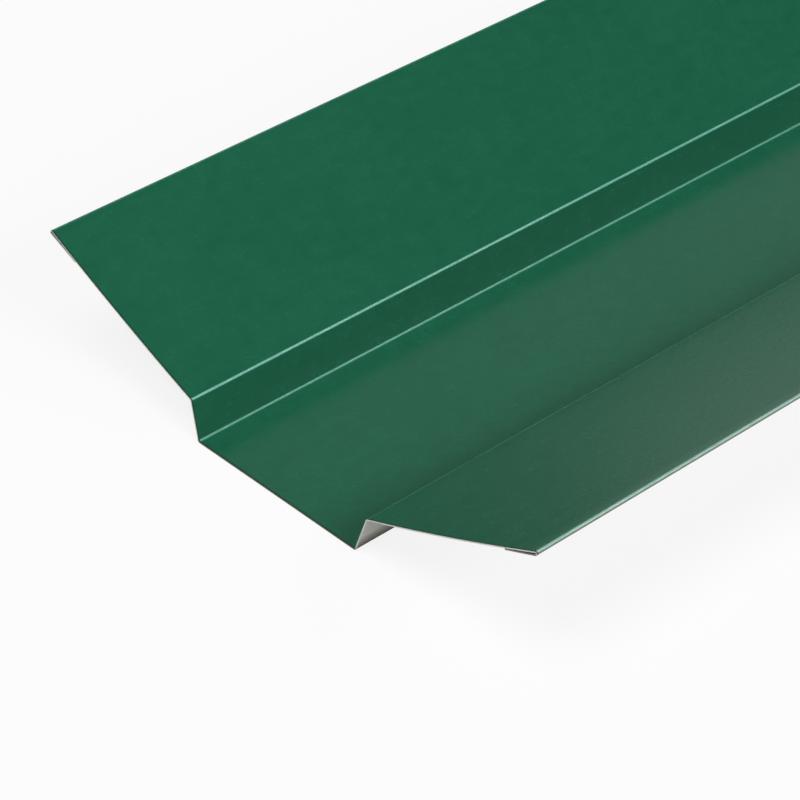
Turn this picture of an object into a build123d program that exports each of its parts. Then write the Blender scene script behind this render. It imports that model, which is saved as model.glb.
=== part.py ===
"""Valley flashing: one strip of prepainted sheet steel, folded into an open valley.

A flat pan lies in the valley, a short steep step rises on each side of it, and a wide
wing follows the slope of each roof. The outer edge of each wing is turned under as a
hem, whose free edge comes back almost to the wing.

Frame, in millimetres: +Z up, the length along Y, and the section symmetric about X = 0.
The origin is the middle of the pan's underside, at half length.
"""

import os
from math import asin, degrees

from build123d import *

# Stock
length = 2000.0
sheet = 0.5

# Flats of the section, each from corner to corner of its painted side
pan_width = 80.0
step_width = 16.5
wing_width = 83.5

# Slopes of the flats above the level
step_slope = 74.0
wing_slope = 23.3

# Bends, on the inside of the metal
bend_radius = 0.8

# Hem: the flat that is turned under, the opening inside its fold and the gap at its free edge
hem_width = 15.0
hem_opening = 0.3
hem_edge_gap = 0.1

# Bends by the side that the paint is on: hollow at the foot of a step, round at its top
foot_radius = bend_radius
top_radius = bend_radius + sheet

# The hem closes past a half turn, by the angle that brings its free edge up to the wing
hem_radius = hem_opening / 2 + sheet
hem_flat = hem_width - hem_radius
hem_closing = degrees(asin((hem_opening - hem_edge_gap) / hem_flat))

# Corners of the painted side of the right half, from the middle of the pan outward
pan_middle = Vector(0, sheet)
step_foot = Vector(pan_width / 2, sheet)
step_top = step_foot + Vector(step_width, 0).rotate(Axis.Z, step_slope)
wing_direction = Vector(1, 0).rotate(Axis.Z, wing_slope)
wing_end = step_top + wing_direction * (wing_width - hem_radius)

with BuildPart() as flashing:
    with BuildSketch(Plane.XZ) as section:
        with BuildLine() as painted_side:
            flats = FilletPolyline(pan_middle, step_foot, step_top, wing_end, radius=(foot_radius, top_radius))
            fold = JernArc(flats @ 1, flats % 1, hem_radius, -(180 + hem_closing))
            PolarLine(fold @ 1, hem_flat, direction=fold % 1)
            offset(amount=sheet, side=Side.RIGHT)
        make_face()
        mirror(about=Plane.YZ)
    extrude(amount=length / 2, both=True)

os.makedirs("parts", exist_ok=True)
flashing.part.label = "valley_flashing"
export_step(flashing.part, "parts/valley_flashing.step")
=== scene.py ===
from math import asin, cos, pi, radians, sin

import bmesh
import bpy
from mathutils import Euler, Matrix, Vector, noise


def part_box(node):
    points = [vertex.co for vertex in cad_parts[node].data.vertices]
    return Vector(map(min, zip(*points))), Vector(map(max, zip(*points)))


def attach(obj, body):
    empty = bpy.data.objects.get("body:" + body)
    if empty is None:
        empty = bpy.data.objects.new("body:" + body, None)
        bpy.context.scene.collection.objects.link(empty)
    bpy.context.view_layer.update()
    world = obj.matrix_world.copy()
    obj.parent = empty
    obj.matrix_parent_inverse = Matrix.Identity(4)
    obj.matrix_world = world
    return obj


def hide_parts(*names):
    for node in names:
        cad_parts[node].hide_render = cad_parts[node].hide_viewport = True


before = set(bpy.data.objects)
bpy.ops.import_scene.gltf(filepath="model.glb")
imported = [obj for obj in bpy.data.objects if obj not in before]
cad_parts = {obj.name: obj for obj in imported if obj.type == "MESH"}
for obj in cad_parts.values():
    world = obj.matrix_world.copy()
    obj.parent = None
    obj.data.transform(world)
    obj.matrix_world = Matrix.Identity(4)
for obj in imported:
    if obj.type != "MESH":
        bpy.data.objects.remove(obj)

bl_info = {
    "name": "Valley Flashing",
    "version": (1, 0, 0),
    "blender": (4, 5, 0),
    "location": "3D View > Sidebar > Flashing",
    "description": "Folds a roof valley flashing from painted sheet steel and sets it in a plain studio",
    "category": "Object",
}

NODE = "valley_flashing"
BODY = "root"
MILLIMETRE = 0.001

CAD_LOW, CAD_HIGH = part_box(NODE)
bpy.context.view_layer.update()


# Settings

class FlashingSection(bpy.types.PropertyGroup):
    """The folded section, measured on its painted side, and how far the sheet is from flat"""
    length: bpy.props.FloatProperty(
        name="Length", description="Cut length of the flashing",
        default=CAD_HIGH.y - CAD_LOW.y, unit="LENGTH")
    sheet: bpy.props.FloatProperty(
        name="Sheet", description="Thickness of the coated steel",
        default=0.5 * MILLIMETRE, unit="LENGTH")
    pan_width: bpy.props.FloatProperty(
        name="Pan Width", description="Flat bottom, from corner to corner",
        default=80 * MILLIMETRE, unit="LENGTH")
    step_width: bpy.props.FloatProperty(
        name="Step Width", description="Steep step at each side of the pan, from corner to corner",
        default=16.5 * MILLIMETRE, unit="LENGTH")
    wing_width: bpy.props.FloatProperty(
        name="Wing Width", description="Wing, from the top of its step to its folded edge",
        default=83.39 * MILLIMETRE, unit="LENGTH")
    hem_width: bpy.props.FloatProperty(
        name="Hem Width", description="Part of the wing's edge that is turned under",
        default=15 * MILLIMETRE, unit="LENGTH")
    step_slope: bpy.props.FloatProperty(
        name="Step Slope", description="Slope of a step above the level",
        default=radians(74), subtype="ANGLE")
    wing_slope: bpy.props.FloatProperty(
        name="Wing Slope", description="Slope of a wing above the level",
        default=radians(23.3), subtype="ANGLE")
    bend_radius: bpy.props.FloatProperty(
        name="Bend Radius", description="Radius on the inside of each bend",
        default=0.8 * MILLIMETRE, unit="LENGTH")
    hem_opening: bpy.props.FloatProperty(
        name="Hem Opening", description="Space inside the hem's fold",
        default=0.7 * MILLIMETRE, unit="LENGTH")
    hem_edge_gap: bpy.props.FloatProperty(
        name="Hem Edge Gap", description="Space between the wing and the hem's free edge",
        default=0.1 * MILLIMETRE, unit="LENGTH")
    wing_hollow: bpy.props.FloatProperty(
        name="Wing Hollow", description="How far the middle of a wing lies below a straight edge across it",
        default=0.9 * MILLIMETRE, unit="LENGTH")
    sheet_waves: bpy.props.FloatProperty(
        name="Sheet Waves", description="Height of the long shallow waves that thin sheet has",
        default=0.15 * MILLIMETRE, unit="LENGTH")


class FlashingFinish(bpy.types.PropertyGroup):
    """Colours and roughness of the coatings and of the bare cut edge"""
    paint: bpy.props.FloatVectorProperty(
        name="Paint", description="Topcoat on the upper side",
        default=(0.0092, 0.1040, 0.0540), subtype="COLOR", min=0, max=1)
    worn_paint: bpy.props.FloatVectorProperty(
        name="Worn Paint", description="Topcoat where handling has dulled it",
        default=(0.0130, 0.1250, 0.0660), subtype="COLOR", min=0, max=1)
    # The pale colour on the bends is stretched coat and, as much, a painted highlight along each bend
    stretched_paint_and_highlight: bpy.props.FloatVectorProperty(
        name="Stretched Paint", description="Topcoat where a bend has stretched and paled it",
        default=(0.1600, 0.4500, 0.3550), subtype="COLOR", min=0, max=1)
    # The near-white on the right hem's fold is fine cracks and a painted highlight; the left fold gets
    # little of it
    cracked_paint_and_highlight: bpy.props.FloatVectorProperty(
        name="Cracked Paint",
        description="Topcoat on the right hem's tight fold, where the primer shows through fine cracks",
        default=(0.4600, 0.5400, 0.4600), subtype="COLOR", min=0, max=1)
    # The grey-green under the crown of each hem's fold is painted shade
    hem_fold_shade: bpy.props.FloatVectorProperty(
        name="Rubbed Hem",
        description="Topcoat under the crown of each folded edge, rubbed and grey with dirt",
        default=(0.0880, 0.1120, 0.0850), subtype="COLOR", min=0, max=1)
    # The dark line along the sheared ends of the topcoat is painted shade
    end_shade_paint: bpy.props.FloatVectorProperty(
        name="Bruised Paint", description="Topcoat pressed and darkened along the sheared ends",
        default=(0.0100, 0.0260, 0.0110), subtype="COLOR", min=0, max=1)
    end_line_width: bpy.props.FloatProperty(
        name="Bruise Width", description="How far from a sheared end the paint is bruised",
        default=0.7 * MILLIMETRE, unit="LENGTH")
    back_coat: bpy.props.FloatVectorProperty(
        name="Back Coat", description="Thin coat on the underside",
        default=(0.5200, 0.5200, 0.4750), subtype="COLOR", min=0, max=1)
    thin_back_coat: bpy.props.FloatVectorProperty(
        name="Thin Back Coat", description="Back coat where the zinc shows through it",
        default=(0.3800, 0.3850, 0.3650), subtype="COLOR", min=0, max=1)
    # This dark brown is dirt with painted shade inside the hems, and painted shade near the floor on the
    # steps' backs and the pan's cut ends
    grime_and_shade: bpy.props.FloatVectorProperty(
        name="Grime",
        description="Dirt inside the hems, under the feet of the steps, and on some sheared ends",
        default=(0.0750, 0.0480, 0.0290), subtype="COLOR", min=0, max=1)
    # The dark grey on the bends' undersides is cracked coat and painted shade
    creased_and_shaded_back_coat: bpy.props.FloatVectorProperty(
        name="Creased Back Coat", description="Back coat where a bend has cracked it and dirt has caught",
        default=(0.0350, 0.0350, 0.0250), subtype="COLOR", min=0, max=1)
    cut_steel: bpy.props.FloatVectorProperty(
        name="Cut Steel", description="Bare metal where the sheet was sheared",
        default=(0.6200, 0.6600, 0.6000), subtype="COLOR", min=0, max=1)
    torn_steel: bpy.props.FloatVectorProperty(
        name="Torn Steel", description="Rough part of a sheared edge, where the metal tore",
        default=(0.4000, 0.4100, 0.3700), subtype="COLOR", min=0, max=1)
    paint_roughness: bpy.props.FloatProperty(
        name="Paint Roughness", description="Roughness of the topcoat where it is new and flat",
        default=0.23, subtype="FACTOR", min=0, max=1)
    back_roughness: bpy.props.FloatProperty(
        name="Back Coat Roughness", description="Roughness of the back coat where it is whole and clean",
        default=0.42, subtype="FACTOR", min=0, max=1)
    steel_roughness: bpy.props.FloatProperty(
        name="Steel Roughness", description="Roughness of a sheared edge where the blade slid",
        default=0.34, subtype="FACTOR", min=0, max=1)


class FlashingStudio(bpy.types.PropertyGroup):
    """Camera, lights and floor"""
    azimuth: bpy.props.FloatProperty(
        name="Azimuth",
        description="Turn of the view about the upright axis, from straight down the length",
        default=radians(43.12), subtype="ANGLE")
    elevation: bpy.props.FloatProperty(
        name="Elevation", description="How far the camera looks down",
        default=radians(36.51), subtype="ANGLE")
    roll: bpy.props.FloatProperty(
        name="Roll", description="Tilt of the camera about its own view",
        default=radians(3.91), subtype="ANGLE")
    distance: bpy.props.FloatProperty(
        name="Distance", description="From the camera to the near end of the pan, along the view",
        default=1.24145, unit="LENGTH")
    aim_right: bpy.props.FloatProperty(
        name="Aim Right", description="How far the view's centre lies right of the near end of the pan",
        default=0.04358, unit="LENGTH")
    aim_up: bpy.props.FloatProperty(
        name="Aim Up", description="How far the view's centre lies above the near end of the pan",
        default=0.03296, unit="LENGTH")
    lens: bpy.props.FloatProperty(
        name="Lens", description="Focal length in millimetres, on a sensor 36 mm wide",
        default=159.8)
    key: bpy.props.FloatProperty(
        name="Key", description="Light from the right softbox at the near end",
        default=0.48, min=0)
    top: bpy.props.FloatProperty(
        name="Top", description="Light from the softbox above the front",
        default=0.70, min=0)
    back: bpy.props.FloatProperty(
        name="Back", description="Light from the softbox behind and to the left",
        default=0.031, min=0)
    left_horizon: bpy.props.FloatProperty(
        name="Left Horizon",
        description="Light from the low softbox at the left, which the right wing catches",
        default=0.0066, min=0)
    rim: bpy.props.FloatProperty(
        name="Rim",
        description="Light from the small softbox behind and to the right, which the bends catch",
        default=0.120, min=0)
    horizon: bpy.props.FloatProperty(
        name="Horizon", description="Brightness of the surroundings near the level of the floor",
        default=0.08, min=0, max=1)
    overhead: bpy.props.FloatProperty(
        name="Overhead", description="Brightness of the surroundings higher up",
        default=0.01, min=0, max=1)
    under_floor: bpy.props.FloatProperty(
        name="Under Floor",
        description="Brightness of the surroundings below the horizon, past the floor's edge",
        default=0.90, min=0, max=1)
    floor: bpy.props.FloatVectorProperty(
        name="Floor", description="Colour of the floor",
        default=(0.85, 0.85, 0.85), subtype="COLOR", min=0, max=1)
    floor_glow: bpy.props.FloatProperty(
        name="Floor Glow", description="How far the floor is seen as plain white instead of lit",
        default=0.86, min=0, max=1)


# The folded sheet

PAN_STRIPS = 10
STEP_STRIPS = 3
WING_STRIPS = 16
HEM_STRIPS = 4
BEND_STRIPS = 8
HEM_BEND_STRIPS = 14
LENGTH_STRIPS = 120

# Places in the mesh's list of finishes, after the paint, of what the underside and the edges take
BACK_COAT = 1
CUT_STEEL = 2

# What the mesh carries for its finishes: the strain of the painted face in a bend, a one on each hem and the
# strip of wing above it, and how far round its hem's turn the sheet is
STRAIN = "bend_strain"
POCKET = "hem_pocket"
TURNED = "hem_turned"

# Waves in a metre across the section and along the length, and how many times less the pan waves
WAVES_ACROSS = 6
WAVES_ALONG = 5
PAN_STIFFNESS = 4


def direction(slope):
    """The direction across the section at this slope."""
    return Vector((cos(slope), 0, sin(slope)))


def add_flat(bm, tip, slope, width, strips):
    """Draw a flat from the tip, at this slope, and return its far end."""
    for _ in range(strips):
        tip = bmesh.ops.extrude_vert_indiv(bm, verts=[tip])["verts"][0]
        tip.co += direction(slope) * width / strips
    return tip


def add_bend(bm, tip, slope, turn, radius, sheet, strips):
    """Draw a bend from the tip and return its far end, with the strain of its painted face.

    The strain is above nothing where the paint is stretched round the outside, and below it inside.
    """
    side = 1 if turn > 0 else -1
    centre = tip.co + direction(slope + side * pi / 2) * radius
    first_new = len(bm.verts)
    bmesh.ops.spin(
        bm, geom=[tip], cent=centre, axis=(0, -1, 0), angle=turn, steps=strips, use_duplicate=False)
    bm.verts.ensure_lookup_table()
    strain = bm.verts.layers.float[STRAIN]
    middle_radius = radius + side * sheet / 2
    for vert in bm.verts[first_new:-1]:
        vert[strain] = -side * sheet / 2 / middle_radius
    return bm.verts[-1]


def tangent(turn, radius):
    """How far a bend's ends lie from its corner."""
    return radius * sin(abs(turn) / 2) / cos(turn / 2)


def draw_section(bm, section, start_y):
    """Draw the painted side of the right half, from the middle of the pan to the hem, and mirror it."""
    foot_turn, foot_radius = section.step_slope, section.bend_radius
    top_turn, top_radius = section.wing_slope - section.step_slope, section.bend_radius + section.sheet
    hem_radius = section.hem_opening / 2 + section.sheet
    hem_flat = section.hem_width - hem_radius
    hem_turn = -pi - asin((section.hem_opening - section.hem_edge_gap) / hem_flat)
    foot_tangent, top_tangent = tangent(foot_turn, foot_radius), tangent(top_turn, top_radius)

    tip = bm.verts.new((0, start_y, section.sheet))
    tip = add_flat(bm, tip, 0, section.pan_width / 2 - foot_tangent, PAN_STRIPS)
    tip = add_bend(bm, tip, 0, foot_turn, foot_radius, section.sheet, BEND_STRIPS)
    step_flat = section.step_width - foot_tangent - top_tangent
    tip = add_flat(bm, tip, section.step_slope, step_flat, STEP_STRIPS)
    tip = add_bend(bm, tip, section.step_slope, top_turn, top_radius, section.sheet, BEND_STRIPS)
    wing_flat = section.wing_width - top_tangent - hem_radius
    tip = add_flat(bm, tip, section.wing_slope, wing_flat, WING_STRIPS)
    first_turned = len(bm.verts)
    tip = add_bend(
        bm, tip, section.wing_slope, hem_turn, hem_radius, section.sheet, HEM_BEND_STRIPS)
    add_flat(bm, tip, section.wing_slope + hem_turn, hem_flat, HEM_STRIPS)
    bm.verts.ensure_lookup_table()
    turned = bm.verts.layers.float[TURNED]
    for strip, vert in enumerate(bm.verts[first_turned:], start=1):
        vert[turned] = min(1, strip / HEM_BEND_STRIPS)
    bmesh.ops.mirror(bm, geom=bm.verts[:] + bm.edges[:], axis="X", merge_dist=section.sheet / 10)


def mark_pockets(bm, section):
    """Mark the sheet from each hem's free edge outwards, for the dark brown inside it: dirt, and painted
    shade of the hollow.
    """
    pocket = bm.verts.layers.float[POCKET]
    wing_end = section.pan_width / 2 + section.step_width * cos(section.step_slope)
    wing_end += section.wing_width * cos(section.wing_slope)
    for vert in bm.verts:
        if abs(vert.co.x) > wing_end - section.hem_width * cos(section.wing_slope):
            vert[pocket] = 1


def draw_length(bm, section):
    """Draw the section out to the full length, in strips short enough to carry the waves."""
    drawn = bmesh.ops.extrude_edge_only(bm, edges=bm.edges[:])
    far = [item for item in drawn["geom"] if isinstance(item, bmesh.types.BMVert)]
    bmesh.ops.translate(bm, verts=far, vec=(0, section.length, 0))
    far = set(far)
    long_edges = [edge for edge in bm.edges if len(far.intersection(edge.verts)) == 1]
    bmesh.ops.subdivide_edges(bm, edges=long_edges, cuts=LENGTH_STRIPS - 1, use_grid_fill=True)


def spring(bm, section):
    """Let the wings and the pan stand a little off flat, as thin sheet does between its bends."""
    wing_start = section.pan_width / 2 + section.step_width * cos(section.step_slope)
    wing_reach = section.wing_width * cos(section.wing_slope)
    for vert in bm.verts:
        x, y = vert.co.x, vert.co.y
        wave = noise.noise(Vector((x * WAVES_ACROSS, y * WAVES_ALONG, 1))) * section.sheet_waves
        share = (abs(x) - wing_start) / wing_reach
        if share > 0:
            sag = max(0, 4 * share * (1 - share))
            vert.co.z -= (section.wing_hollow + wave) * sag
        elif abs(x) < section.pan_width / 2:
            swell = 1 - (2 * x / section.pan_width) ** 2
            vert.co.z += (section.sheet_waves + wave) / PAN_STIFFNESS * swell


class FLASHING_OT_fold_sheet(bpy.types.Operator):
    """Fold the flashing from one sheet, painted on its upper side, in place of its plain solid"""
    bl_idname = "flashing.fold_sheet"
    bl_label = "Fold Flashing"

    def execute(self, context):
        section = context.scene.flashing_section
        finish = context.scene.flashing_finish
        bm = bmesh.new()
        bm.verts.layers.float.new(STRAIN)
        bm.verts.layers.float.new(POCKET)
        bm.verts.layers.float.new(TURNED)
        draw_section(bm, section, CAD_LOW.y)
        mark_pockets(bm, section)
        draw_length(bm, section)
        spring(bm, section)
        bmesh.ops.recalc_face_normals(bm, faces=bm.faces)
        if max(bm.faces, key=lambda face: face.normal.z * face.calc_area()).normal.z < 0:
            bmesh.ops.reverse_faces(bm, faces=bm.faces)
        for face in bm.faces:
            face.smooth = True
        for edge in bm.edges:
            edge.smooth = not edge.is_boundary
        mesh = bpy.data.meshes.new("folded_sheet")
        bm.to_mesh(mesh)
        bm.free()
        coats = Coats()
        half_length = section.length / 2
        mesh.materials.append(make_paint(finish, coats, half_length))
        mesh.materials.append(make_back_coat(finish, coats, half_length))
        mesh.materials.append(make_cut_steel(finish, coats))
        sheet = bpy.data.objects.new("folded_sheet", mesh)
        context.scene.collection.objects.link(sheet)
        thickness = sheet.modifiers.new("sheet_thickness", "SOLIDIFY")
        thickness.thickness = section.sheet
        thickness.offset = -1
        thickness.use_even_offset = True
        thickness.use_quality_normals = True
        thickness.material_offset = BACK_COAT
        thickness.material_offset_rim = CUT_STEEL
        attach(sheet, BODY)
        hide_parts(NODE)
        return {"FINISHED"}


# Finishes

# Spacing of the patterns, across the section and along the length, and sizes of the other effects, in metres
PAINT_CLOUDS = {"Across": 0.030, "Along": 0.045}
PAINT_STREAKS = {"Across": 0.0012, "Along": 0.120}
PAINT_MOTTLE = {"Across": 0.0050, "Along": 0.0080}
PAINT_GRAIN = {"Across": 0.0012, "Along": 0.0018}
PAINT_CRAZING = {"Across": 0.0006, "Along": 0.0060}
PAINT_RUBS = {"Width": 0.0009, "Length": 0.080, "Amount": 0.06}
PAINT_PEEL = {"Peel Size": 0.0018, "Tooth Size": 0.0004}
PAINT_PEEL_HEIGHT = 0.000012
BACK_CLOUDS = {"Across": 0.018, "Along": 0.050}
BACK_STREAKS = {"Across": 0.0016, "Along": 0.200}
BACK_GRAIN = {"Across": 0.0008, "Along": 0.0012}
BACK_RUBS = {"Width": 0.0007, "Length": 0.060, "Amount": 0.8}
BACK_PEEL = {"Peel Size": 0.0022, "Tooth Size": 0.0005}
BACK_PEEL_HEIGHT = 0.000015
STEEL_TEARS = {"Across": 0.00035, "Along": 0.00035}
STEEL_CLOUDS = {"Across": 0.010, "Along": 0.020}
STEEL_TEAR_HEIGHT = 0.00002

# Where a noise pattern is cut off, low and high, and how much the clouds leave of the torn steel
CLOUD_CUT = (0.3, 0.7)
RUB_LINE_CUT = (0.62, 0.74)
RUB_PATCH_CUT = (0.5, 0.62)
TEAR_CUT = (0.35, 0.75)
TORN_LEFT = (0.4, 1.0)

# Rub marks lie in patches this many times as wide as a mark
RUB_PATCH_WIDTHS = 60.0

# Sheared ends: size of their raggedness, and where their line fades, in parts of its width
END_RAG = 0.0015
END_FADE = (0.6, 1.2)

# Film: how much of its height is in the finer tooth
TOOTH_SHARE = 0.35

# Strain of the painted face on a plain bend and on the hem's fold, and strain at which the back coat is
# darkest, cracked and in painted shade
BEND_STRAIN = 0.24
HEM_STRAIN = 0.42
CREASE_STRAIN = 0.25

# A squeezed face inside a bend pales, in part as painted highlight, by this much of what a stretched one
# does
SQUEEZED_SHARE = -0.70

# How much the crazing leaves of the paled paint and of the cracks, from its least to its most
WHOLE = (0.0, 1.0)
PALED_LEFT = (0.75, 1.0)
CRACKS_AND_HIGHLIGHT_LEFT = (0.40, 0.80)

# Parts of the hem's turn over which its cracks and painted highlight, the painted shade under its fold, and
# the dirt with painted shade on its cut edge begin
CRACKS_AND_HIGHLIGHT_BEGIN = (0.08, 0.22)
FOLD_SHADE_BEGINS = (0.36, 0.50)
HEM_DIRT_AND_SHADE_BEGINS = (0.70, 0.98)

# Strain at which the painted shade under a fold is strongest
FOLD_SHADE_STRAIN = 0.3

# The most that each mark covers of what is under it: painted shade under the folds, a painted shade line
# along the topcoat's ends, bare metal along the back coat's ends, dirt with painted shade on the hem's cut
# edge, and painted shade on the pan's cut ends
FOLD_SHADE_MOST = 0.85
END_SHADE_MOST = 0.85
BARE_END_MOST = 0.3
HEM_DIRT_AND_SHADE_MOST = 0.75
PAN_END_SHADE_MOST = 0.85

# Strains over which the fold of the left hem keeps its plain paint, without most of the painted highlight
# that the right fold gets
LEFT_FOLD_STRAINS = (0.24, 0.30)
LEFT_FOLD_SHARE = 0.1

# Half width of the middle strip over which the left half gives way to the right
MIDDLE = 0.001

# Heights over which painted shade near the floor begins and ends on the backs of the steps, and on the
# sheared ends
FOOT_SHADE_BEGINS = (0.0001, 0.0003)
FOOT_SHADE_ENDS = (0.0008, 0.0075)
PAN_END_SHADE_ENDS = (0.0006, 0.0016)

# How much the clouds leave of the dark brown on the back coat: dirt with painted shade in the hems, and
# painted shade near the floor
DIRT_AND_SHADE_LEFT = (0.7, 1.0)

# Bare metal in a rub and on a sheared edge, and how much less of it there is where the edge tore
RUBBED_METAL = 0.6
SHEARED_METAL = 0.55
TORN_METAL = -0.25

# Shine of the thin back coat, duller than the topcoat's half
BACK_SPECULAR = 0.25


def node_material(name):
    """An empty node material, with its shader and the tree to add to."""
    material = bpy.data.materials.new(name)
    material.use_nodes = True
    return material, material.node_tree.nodes["Principled BSDF"], material.node_tree


def new_group(name, inputs, outputs):
    """An empty node group with named number inputs and outputs."""
    tree = bpy.data.node_groups.new(name, "ShaderNodeTree")
    for label, value in inputs.items():
        socket = tree.interface.new_socket(label, in_out="INPUT", socket_type="NodeSocketFloat")
        socket.default_value = value
    for label in outputs:
        tree.interface.new_socket(label, in_out="OUTPUT", socket_type="NodeSocketFloat")
    return tree, tree.nodes.new("NodeGroupInput"), tree.nodes.new("NodeGroupOutput")


def math(tree, operation, *values, clamp=False):
    """A Math node fed with numbers or sockets, by its output."""
    node = tree.nodes.new("ShaderNodeMath")
    node.operation = operation
    node.use_clamp = clamp
    for socket, value in zip(node.inputs, values):
        if isinstance(value, bpy.types.NodeSocket):
            tree.links.new(value, socket)
        else:
            socket.default_value = value
    return node.outputs[0]


def add_up(tree, *shares):
    """Patterns added up, each by its share, by the output."""
    total = 0.0
    for pattern, share in shares:
        total = math(tree, "MULTIPLY_ADD", pattern, share, total)
    return total


def stretch(tree, source, from_range, to_range=(0.0, 1.0)):
    """A Map Range node from one range to another, by its output."""
    node = tree.nodes.new("ShaderNodeMapRange")
    node.clamp = True
    tree.links.new(source, node.inputs["Value"])
    for label, value in zip(("From Min", "From Max", "To Min", "To Max"), (*from_range, *to_range)):
        node.inputs[label].default_value = value
    return node.outputs["Result"]


def spaced_noise(tree, across, along, detail):
    """Noise with this spacing across the section and along the length, by its output."""
    coordinates = tree.nodes.new("ShaderNodeTexCoord")
    scale = tree.nodes.new("ShaderNodeCombineXYZ")
    per_across = math(tree, "DIVIDE", 1.0, across)
    tree.links.new(per_across, scale.inputs["X"])
    tree.links.new(math(tree, "DIVIDE", 1.0, along), scale.inputs["Y"])
    tree.links.new(per_across, scale.inputs["Z"])
    place = tree.nodes.new("ShaderNodeVectorMath")
    place.operation = "MULTIPLY"
    tree.links.new(coordinates.outputs["Object"], place.inputs[0])
    tree.links.new(scale.outputs["Vector"], place.inputs[1])
    pattern = tree.nodes.new("ShaderNodeTexNoise")
    pattern.inputs["Scale"].default_value = 1
    pattern.inputs["Detail"].default_value = detail
    tree.links.new(place.outputs["Vector"], pattern.inputs["Vector"])
    return pattern.outputs["Fac"]


def place_along(tree, axis):
    """The place along an axis of the flashing, from the middle of the pan's underside, by its output."""
    coordinates = tree.nodes.new("ShaderNodeTexCoord")
    split = tree.nodes.new("ShaderNodeSeparateXYZ")
    tree.links.new(coordinates.outputs["Object"], split.inputs["Vector"])
    return split.outputs[axis]


def right_side(tree):
    """One on the right half of the section and nothing on the left, by its output."""
    return stretch(tree, place_along(tree, "X"), (-MIDDLE, MIDDLE))


def attribute(tree, name):
    """A number that the folded mesh carries, by its output."""
    node = tree.nodes.new("ShaderNodeAttribute")
    node.attribute_name = name
    return node.outputs["Fac"]


def make_cloud_group():
    """Soft patches of any size and stretch, around a middle of one half."""
    tree, given, result = new_group("coat_cloud", {"Across": 0.02, "Along": 0.02}, ["Cloud"])
    cloud = spaced_noise(tree, given.outputs["Across"], given.outputs["Along"], detail=3.0)
    tree.links.new(stretch(tree, cloud, CLOUD_CUT), result.inputs["Cloud"])
    return tree


def make_rub_group():
    """Thin broken rub marks along the length, left by stacking and sliding lengths on each other."""
    tree, given, result = new_group("slide_rubs", {"Width": 0.0006, "Length": 0.06, "Amount": 0.5}, ["Rubs"])
    width, length, amount = (given.outputs[label] for label in ("Width", "Length", "Amount"))
    lines = spaced_noise(tree, width, length, detail=2.0)
    patch_width = math(tree, "MULTIPLY", width, RUB_PATCH_WIDTHS)
    patches = spaced_noise(tree, patch_width, length, detail=2.0)
    rubs = math(tree, "MULTIPLY", stretch(tree, lines, RUB_LINE_CUT), stretch(tree, patches, RUB_PATCH_CUT))
    tree.links.new(math(tree, "MULTIPLY", rubs, amount, clamp=True), result.inputs["Rubs"])
    return tree


def make_end_group():
    """A ragged line along the two sheared ends: one at the cut, fading to nothing over its width."""
    tree, given, result = new_group(
        "sheared_end", {"Half Length": 1.0, "Width": 0.0005, "Raggedness": 0.4}, ["End"])
    from_middle = math(tree, "ABSOLUTE", place_along(tree, "Y"))
    inset = math(tree, "SUBTRACT", given.outputs["Half Length"], from_middle)
    share = math(tree, "DIVIDE", inset, given.outputs["Width"])
    rag = math(tree, "SUBTRACT", spaced_noise(tree, END_RAG, END_RAG, detail=2.0), 0.5)
    share = math(tree, "MULTIPLY_ADD", rag, given.outputs["Raggedness"], share)
    tree.links.new(stretch(tree, share, END_FADE, (1.0, 0.0)), result.inputs["End"])
    return tree


def make_peel_group():
    """The fine unevenness of a roller-coated film: a soft peel with a finer tooth, as a height."""
    tree, given, result = new_group("film_peel", {"Peel Size": 0.0016, "Tooth Size": 0.0004}, ["Height"])
    peel = spaced_noise(tree, given.outputs["Peel Size"], given.outputs["Peel Size"], detail=1.0)
    tooth = spaced_noise(tree, given.outputs["Tooth Size"], given.outputs["Tooth Size"], detail=2.0)
    tree.links.new(math(tree, "MULTIPLY_ADD", tooth, TOOTH_SHARE, peel), result.inputs["Height"])
    return tree


class Coats:
    """The shared effects, built once for all three finishes."""
    def __init__(self):
        self.cloud = make_cloud_group()
        self.rubs = make_rub_group()
        self.end = make_end_group()
        self.peel = make_peel_group()


def use(tree, group, values):
    """Place a shared effect in a material with its own values, by its output."""
    node = tree.nodes.new("ShaderNodeGroup")
    node.node_tree = group
    node.label = group.name
    for label, value in values.items():
        node.inputs[label].default_value = value
    return node.outputs[0]


def blend(tree, amount, below, above):
    """Lay one colour over another by an amount, by the blended output. Each colour may be a socket."""
    node = tree.nodes.new("ShaderNodeMix")
    node.data_type = "RGBA"
    tree.links.new(amount, node.inputs["Factor"])
    for socket, value in ((node.inputs[6], below), (node.inputs[7], above)):
        if isinstance(value, bpy.types.NodeSocket):
            tree.links.new(value, socket)
        else:
            socket.default_value = (*value, 1)
    return node.outputs[2]


def add_bump(tree, shader, height, distance):
    """Let a height in parts of a distance stand off the surface."""
    bump = tree.nodes.new("ShaderNodeBump")
    bump.inputs["Distance"].default_value = distance
    tree.links.new(height, bump.inputs["Height"])
    tree.links.new(bump.outputs["Normal"], shader.inputs["Normal"])


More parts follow.
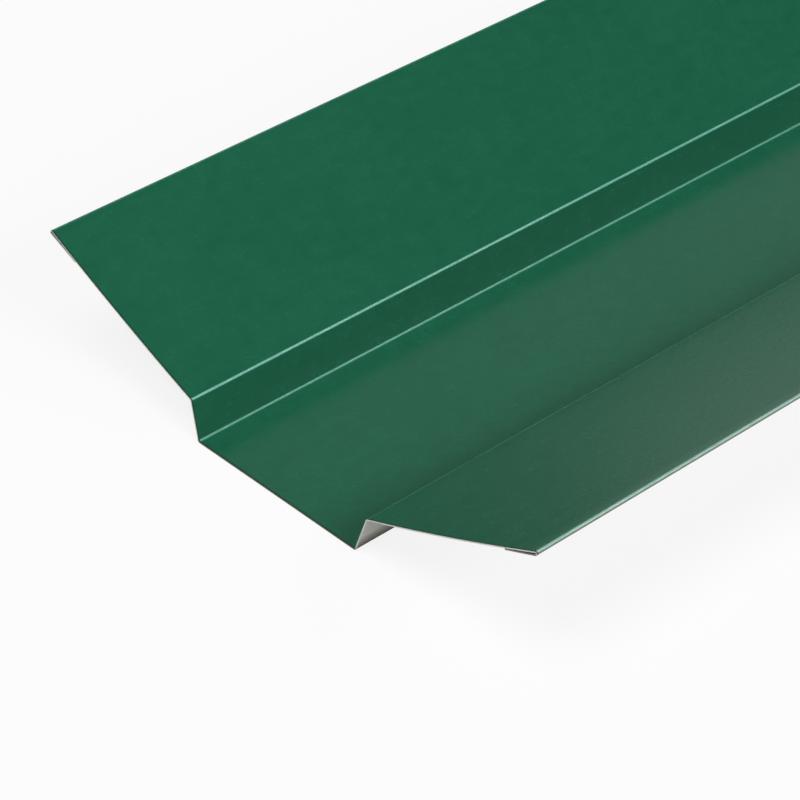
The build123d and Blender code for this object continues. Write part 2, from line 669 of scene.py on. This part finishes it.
def add_fold_wear_and_light(tree, coats, finish, colour):
    """Pale the paint on the bends, partly as stretched coat and partly as painted highlight; crack the hem's
    fold with a painted highlight, mostly on the right; lay painted shade under each fold's crown.

    The colour comes back by its output, and so does how far the paint is paled.
    """
    strain = attribute(tree, STRAIN)
    turned = attribute(tree, TURNED)
    crazing = use(tree, coats.cloud, PAINT_CRAZING)
    bent = math(tree, "MAXIMUM", strain, math(tree, "MULTIPLY", strain, SQUEEZED_SHARE))
    left_fold = stretch(tree, bent, LEFT_FOLD_STRAINS, (1.0, LEFT_FOLD_SHARE))
    highlight_reach = math(tree, "MAXIMUM", left_fold, right_side(tree))

    # Paler along the bends: stretched coat, and a painted highlight
    paled_and_highlit = math(tree, "MULTIPLY", stretch(tree, bent, (0.0, BEND_STRAIN)), highlight_reach)
    paled_and_highlit = math(tree, "MULTIPLY", paled_and_highlit, stretch(tree, crazing, WHOLE, PALED_LEFT))
    # Near-white on the hem's fold, mostly on the right: fine cracks, and a painted highlight
    cracked_and_highlit = math(tree, "MULTIPLY", stretch(tree, bent, (BEND_STRAIN, HEM_STRAIN)), highlight_reach)
    cracked_and_highlit = math(tree, "MULTIPLY", cracked_and_highlit, stretch(tree, crazing, WHOLE, CRACKS_AND_HIGHLIGHT_LEFT))
    cracked_and_highlit = math(tree, "MULTIPLY", cracked_and_highlit, stretch(tree, turned, CRACKS_AND_HIGHLIGHT_BEGIN))
    # Painted shade under the crown of each hem's fold
    fold_shade = stretch(tree, bent, (0.0, FOLD_SHADE_STRAIN), (0.0, FOLD_SHADE_MOST))
    fold_shade = math(tree, "MULTIPLY", fold_shade, stretch(tree, turned, FOLD_SHADE_BEGINS))

    colour = blend(tree, paled_and_highlit, colour, finish.stretched_paint_and_highlight)
    colour = blend(tree, cracked_and_highlit, colour, finish.cracked_paint_and_highlight)
    return blend(tree, fold_shade, colour, finish.hem_fold_shade), paled_and_highlit


def make_paint(finish, coats, half_length):
    """Satin topcoat: faint clouds and roller streaks, paler on the bends as stretched coat and painted
    highlight, with a painted shade line along the ends.
    """
    material, shader, tree = node_material("green_topcoat")
    clouds = use(tree, coats.cloud, PAINT_CLOUDS)
    streaks = use(tree, coats.cloud, PAINT_STREAKS)
    mottle = use(tree, coats.cloud, PAINT_MOTTLE)
    grain = use(tree, coats.cloud, PAINT_GRAIN)
    rubs = use(tree, coats.rubs, PAINT_RUBS)
    end_line = {"Half Length": half_length, "Width": finish.end_line_width, "Raggedness": 0.5}
    end = use(tree, coats.end, end_line)

    wear = add_up(tree, (clouds, 0.30), (streaks, 0.15), (mottle, 0.50), (grain, 0.35))
    wear = math(tree, "ADD", wear, rubs, clamp=True)
    colour = blend(tree, wear, finish.paint, finish.worn_paint)
    colour, paled_and_highlit = add_fold_wear_and_light(tree, coats, finish, colour)
    # Painted shade line along the sheared ends
    colour = blend(tree, math(tree, "MULTIPLY", end, END_SHADE_MOST), colour, finish.end_shade_paint)
    tree.links.new(colour, shader.inputs["Base Color"])

    duller = add_up(tree, (wear, 0.05), (paled_and_highlit, -0.09), (end, 0.20))
    tree.links.new(math(tree, "ADD", duller, finish.paint_roughness), shader.inputs["Roughness"])
    add_bump(tree, shader, use(tree, coats.peel, PAINT_PEEL), PAINT_PEEL_HEIGHT)
    return material


def make_back_coat(finish, coats, half_length):
    """Thin grey coat of the underside, streaked by its roller and rubbed where lengths were stacked."""
    material, shader, tree = node_material("grey_back_coat")
    clouds = use(tree, coats.cloud, BACK_CLOUDS)
    streaks = use(tree, coats.cloud, BACK_STREAKS)
    grain = use(tree, coats.cloud, BACK_GRAIN)
    rubs = use(tree, coats.rubs, BACK_RUBS)
    end_line = {"Half Length": half_length, "Width": finish.end_line_width, "Raggedness": 0.6}
    end = use(tree, coats.end, end_line)

    thin = add_up(tree, (streaks, 0.45), (clouds, 0.35), (grain, 0.15))
    colour = blend(tree, thin, finish.back_coat, finish.thin_back_coat)
    colour = blend(tree, rubs, colour, finish.cut_steel)
    # Darker at the bends: cracked back coat, and painted shade
    creased_and_shaded = math(tree, "ABSOLUTE", attribute(tree, STRAIN))
    creased_and_shaded = math(tree, "DIVIDE", creased_and_shaded, CREASE_STRAIN, clamp=True)
    colour = blend(tree, creased_and_shaded, colour, finish.creased_and_shaded_back_coat)

    # Painted shade near the floor on the backs of the steps
    height = place_along(tree, "Z")
    foot_shade = stretch(tree, height, FOOT_SHADE_ENDS, (1.0, 0.0))
    foot_shade = math(tree, "MULTIPLY", foot_shade, stretch(tree, height, FOOT_SHADE_BEGINS))
    # Dark brown inside the hems: dirt, and painted shade of the hollow
    dirt_and_shade = math(tree, "MAXIMUM", attribute(tree, POCKET), foot_shade)
    dirt_and_shade = math(tree, "MULTIPLY", dirt_and_shade, stretch(tree, clouds, WHOLE, DIRT_AND_SHADE_LEFT))
    colour = blend(tree, dirt_and_shade, colour, finish.grime_and_shade)
    colour = blend(tree, math(tree, "MULTIPLY", end, BARE_END_MOST), colour, finish.torn_steel)
    tree.links.new(colour, shader.inputs["Base Color"])

    tree.links.new(math(tree, "MULTIPLY", rubs, RUBBED_METAL), shader.inputs["Metallic"])
    duller = add_up(tree, (thin, 0.12), (dirt_and_shade, 0.40), (rubs, -0.10))
    tree.links.new(math(tree, "ADD", duller, finish.back_roughness), shader.inputs["Roughness"])
    shader.inputs["Specular IOR Level"].default_value = BACK_SPECULAR
    add_bump(tree, shader, use(tree, coats.peel, BACK_PEEL), BACK_PEEL_HEIGHT)
    return material


def make_cut_steel(finish, coats):
    """Sheared edge of the zinc-coated steel: bright where the blade slid, rough and darker where it tore."""
    material, shader, tree = node_material("sheared_edge")
    tears = use(tree, coats.cloud, STEEL_TEARS)
    clouds = use(tree, coats.cloud, STEEL_CLOUDS)
    torn = stretch(tree, clouds, WHOLE, TORN_LEFT)
    torn = math(tree, "MULTIPLY", torn, stretch(tree, tears, TEAR_CUT))
    colour = blend(tree, torn, finish.cut_steel, finish.torn_steel)

    # Dark brown on the right hem's cut edge, dirt and painted shade, and painted shade on the pan's cut ends
    # near the floor
    on_hem = stretch(tree, attribute(tree, TURNED), HEM_DIRT_AND_SHADE_BEGINS, (0.0, HEM_DIRT_AND_SHADE_MOST))
    on_hem = math(tree, "MULTIPLY", on_hem, right_side(tree))
    on_pan = stretch(tree, place_along(tree, "Z"), PAN_END_SHADE_ENDS, (PAN_END_SHADE_MOST, 0.0))
    dirt_and_shade = math(tree, "MAXIMUM", on_pan, on_hem)
    tree.links.new(blend(tree, dirt_and_shade, colour, finish.grime_and_shade), shader.inputs["Base Color"])

    bare = math(tree, "MULTIPLY_ADD", torn, TORN_METAL, SHEARED_METAL)
    tree.links.new(math(tree, "SUBTRACT", bare, dirt_and_shade, clamp=True), shader.inputs["Metallic"])
    duller = math(tree, "MULTIPLY_ADD", torn, 0.25, finish.steel_roughness)
    tree.links.new(duller, shader.inputs["Roughness"])
    add_bump(tree, shader, tears, STEEL_TEAR_HEIGHT)
    return material


# Stage

FLOOR_SIZE = 30
FLOOR_DROP = 0.0002
FLOOR_ROUGHNESS = 0.9
LAMP_DISTANCE = 4
SENSOR_WIDTH = 36
CAMERA_REACH = 100

# Heights of a direction's end on a ball of one metre round the object, between which the surroundings change
FLOOR_BRIM = (-0.02, 0.0)
HORIZON_BRIM = (0.14, 0.22)


def add_floor(scene, studio):
    """A wide pale floor just under the object, seen as nearly plain white but for the shadow on it."""
    bm = bmesh.new()
    bmesh.ops.create_grid(bm, x_segments=1, y_segments=1, size=FLOOR_SIZE / 2)
    bmesh.ops.translate(bm, verts=bm.verts, vec=(0, 0, CAD_LOW.z - FLOOR_DROP))
    mesh = bpy.data.meshes.new("floor")
    bm.to_mesh(mesh)
    bm.free()
    material, shader, tree = node_material("pale_floor")
    nodes, links = tree.nodes, tree.links
    shader.inputs["Base Color"].default_value = (*studio.floor, 1)
    shader.inputs["Roughness"].default_value = FLOOR_ROUGHNESS
    white = nodes.new("ShaderNodeEmission")
    white.inputs["Color"].default_value = (1, 1, 1, 1)
    white.inputs["Strength"].default_value = 1
    path = nodes.new("ShaderNodeLightPath")
    seen = math(tree, "MAXIMUM", path.outputs["Is Camera Ray"], path.outputs["Is Glossy Ray"])
    seen = math(tree, "MAXIMUM", seen, path.outputs["Is Transmission Ray"])
    glow = nodes.new("ShaderNodeMixShader")
    links.new(math(tree, "MULTIPLY", seen, studio.floor_glow), glow.inputs["Fac"])
    links.new(shader.outputs["BSDF"], glow.inputs[1])
    links.new(white.outputs["Emission"], glow.inputs[2])
    below = nodes.new("ShaderNodeNewGeometry")
    clear = nodes.new("ShaderNodeBsdfTransparent")
    from_below = nodes.new("ShaderNodeMixShader")
    hidden = math(tree, "MULTIPLY", below.outputs["Backfacing"], path.outputs["Is Camera Ray"])
    links.new(hidden, from_below.inputs["Fac"])
    links.new(glow.outputs["Shader"], from_below.inputs[1])
    links.new(clear.outputs["BSDF"], from_below.inputs[2])
    links.new(from_below.outputs["Shader"], nodes["Material Output"].inputs["Surface"])
    mesh.materials.append(material)
    floor = bpy.data.objects.new("floor", mesh)
    scene.collection.objects.link(floor)


def add_world(scene, studio):
    """Dim surroundings, a little brighter near the horizon, and pale as the floor below it."""
    world = bpy.data.worlds.new("studio")
    scene.world = world
    world.use_nodes = True
    tree = world.node_tree
    coordinates = tree.nodes.new("ShaderNodeTexCoord")
    split = tree.nodes.new("ShaderNodeSeparateXYZ")
    tree.links.new(coordinates.outputs["Generated"], split.inputs["Vector"])
    level = stretch(tree, split.outputs["Z"], HORIZON_BRIM, (studio.horizon, studio.overhead))
    under_floor = stretch(tree, split.outputs["Z"], FLOOR_BRIM, (studio.under_floor, 0.0))
    background = tree.nodes["Background"]
    background.inputs["Color"].default_value = (1, 1, 1, 1)
    tree.links.new(math(tree, "MAXIMUM", level, under_floor), background.inputs["Strength"])


def add_softbox(scene, name, strength, azimuth, elevation, size):
    """A square lamp aimed at the near end, its azimuth from the right towards the back.

    Its strength is the light it gives there: a white surface that faces it looks that bright.
    """
    aim = Vector((0, CAD_LOW.y, 0))
    level = Vector((cos(radians(azimuth)), sin(radians(azimuth)), 0)) * cos(radians(elevation))
    away = level + Vector((0, 0, sin(radians(elevation))))
    lamp = bpy.data.lights.new(name, "AREA")
    lamp.shape = "SQUARE"
    lamp.size = size
    lamp.energy = strength * (pi * LAMP_DISTANCE) ** 2
    holder = bpy.data.objects.new(name, lamp)
    holder.location = aim + away * LAMP_DISTANCE
    holder.rotation_euler = away.to_track_quat("Z", "Y").to_euler()
    scene.collection.objects.link(holder)


def add_camera(scene, section, studio):
    """A long lens at the photo's angle, aimed near the near end of the pan."""
    turn = Euler((pi / 2 - studio.elevation, 0, studio.azimuth)).to_matrix()
    turn = turn @ Matrix.Rotation(studio.roll, 3, "Z")
    near_end = Vector((0, CAD_LOW.y, section.sheet))
    target = near_end + turn @ Vector((studio.aim_right, studio.aim_up, 0))
    camera = bpy.data.cameras.new("camera")
    camera.lens = studio.lens
    camera.sensor_width = SENSOR_WIDTH
    camera.clip_end = CAMERA_REACH
    holder = bpy.data.objects.new("camera", camera)
    eye = target + turn @ Vector((0, 0, studio.distance))
    holder.matrix_world = Matrix.Translation(eye) @ turn.to_4x4()
    scene.collection.objects.link(holder)
    scene.camera = holder


class FLASHING_OT_set_stage(bpy.types.Operator):
    """Set the floor, the lights and the camera around the flashing"""
    bl_idname = "flashing.set_stage"
    bl_label = "Set Stage"

    def execute(self, context):
        scene = context.scene
        studio = scene.flashing_studio
        scene.view_settings.view_transform = "Standard"
        add_floor(scene, studio)
        add_world(scene, studio)
        add_softbox(scene, "right_key", studio.key, azimuth=0, elevation=34, size=1.8)
        add_softbox(scene, "top_front", studio.top, azimuth=-95, elevation=72, size=2.3)
        add_softbox(scene, "left_back", studio.back, azimuth=130, elevation=25, size=2.1)
        add_softbox(scene, "left_horizon", studio.left_horizon, azimuth=136, elevation=6, size=0.7)
        add_softbox(scene, "bend_rim", studio.rim, azimuth=46, elevation=33, size=0.8)
        add_camera(scene, scene.flashing_section, studio)
        return {"FINISHED"}


class FLASHING_PT_panel(bpy.types.Panel):
    """Sizes, finishes and stage of the flashing"""
    bl_idname = "FLASHING_PT_panel"
    bl_label = "Valley Flashing"
    bl_space_type = "VIEW_3D"
    bl_region_type = "UI"
    bl_category = "Flashing"

    def draw(self, context):
        scene = context.scene
        for group in (scene.flashing_section, scene.flashing_finish, scene.flashing_studio):
            box = self.layout.box()
            for name in group.__annotations__:
                box.prop(group, name)
        self.layout.operator(FLASHING_OT_fold_sheet.bl_idname)
        self.layout.operator(FLASHING_OT_set_stage.bl_idname)


CLASSES = (
    FlashingSection,
    FlashingFinish,
    FlashingStudio,
    FLASHING_OT_fold_sheet,
    FLASHING_OT_set_stage,
    FLASHING_PT_panel,
)


def register():
    for item in CLASSES:
        bpy.utils.register_class(item)
    bpy.types.Scene.flashing_section = bpy.props.PointerProperty(type=FlashingSection)
    bpy.types.Scene.flashing_finish = bpy.props.PointerProperty(type=FlashingFinish)
    bpy.types.Scene.flashing_studio = bpy.props.PointerProperty(type=FlashingStudio)


def unregister():
    del bpy.types.Scene.flashing_studio
    del bpy.types.Scene.flashing_finish
    del bpy.types.Scene.flashing_section
    for item in reversed(CLASSES):
        bpy.utils.unregister_class(item)


def main():
    register()
    bpy.ops.flashing.fold_sheet()
    bpy.ops.flashing.set_stage()


if __name__ == "__main__":
    main()
